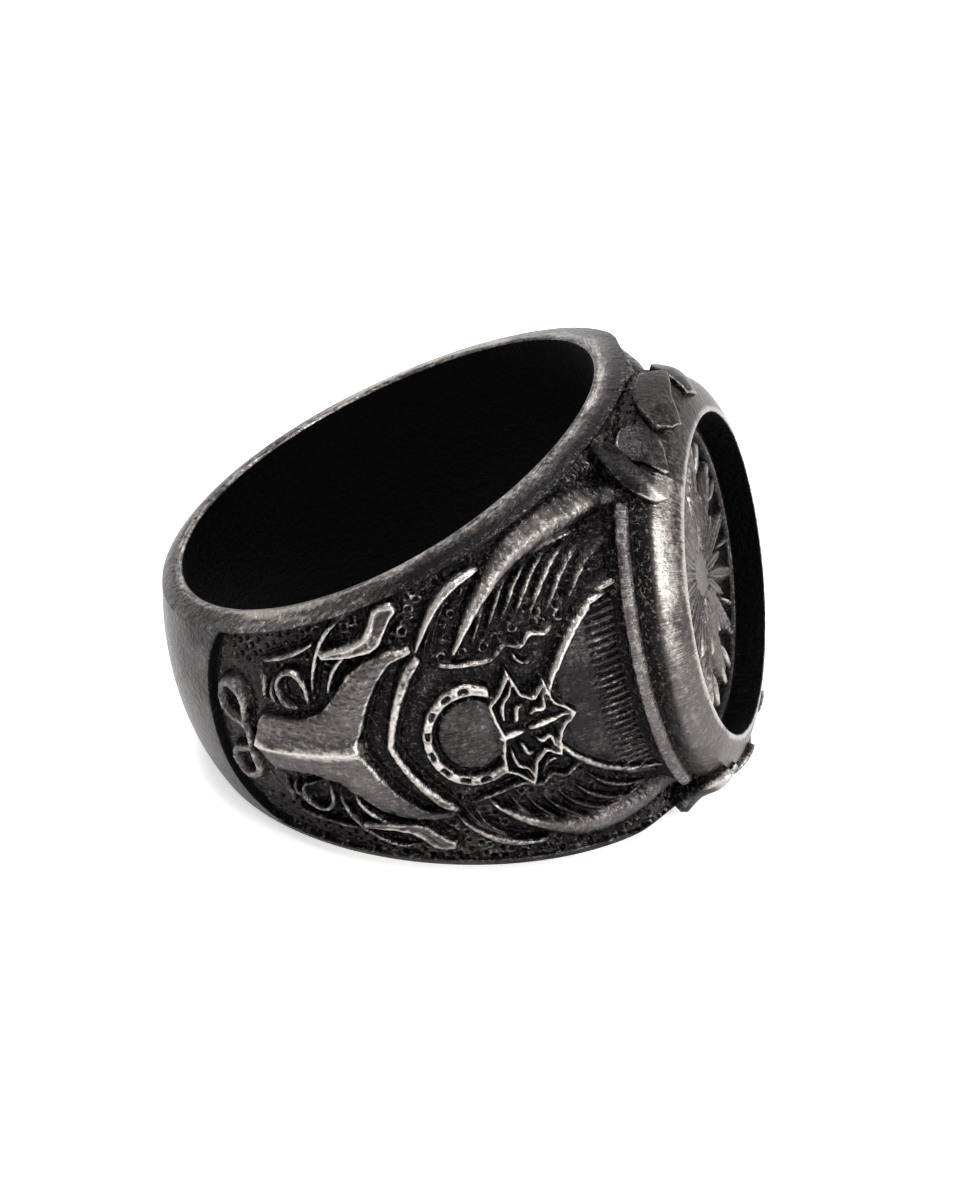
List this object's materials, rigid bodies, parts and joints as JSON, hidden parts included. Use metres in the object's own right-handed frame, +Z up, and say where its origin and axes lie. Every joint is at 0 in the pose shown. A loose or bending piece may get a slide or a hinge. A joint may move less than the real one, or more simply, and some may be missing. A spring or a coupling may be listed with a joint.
{
  "type": "signet ring",
  "caption": "Heavy blackened-silver signet ring with ornamented shoulders and a round relief medallion in a raised collar.",
  "frame": {"origin": "middle of the bounding box on the surface that the ring lies on", "axes": "+X out through the head of the ring, +Z up from the surface; the finger hole's axis leans 14.6 degrees from +Z towards -X"},
  "size_m": [0.0274, 0.0262, 0.0195],
  "materials": {
    "blackened_silver": "oxidised silver, black in the recesses, satin and brushed on the raised forms",
    "medallion_silver": "oxidised silver, matt grey relief"
  },
  "bodies": {
    "root": {"ring_body": "blackened_silver", "medallion": "medallion_silver"}
  },
  "joints": []
}
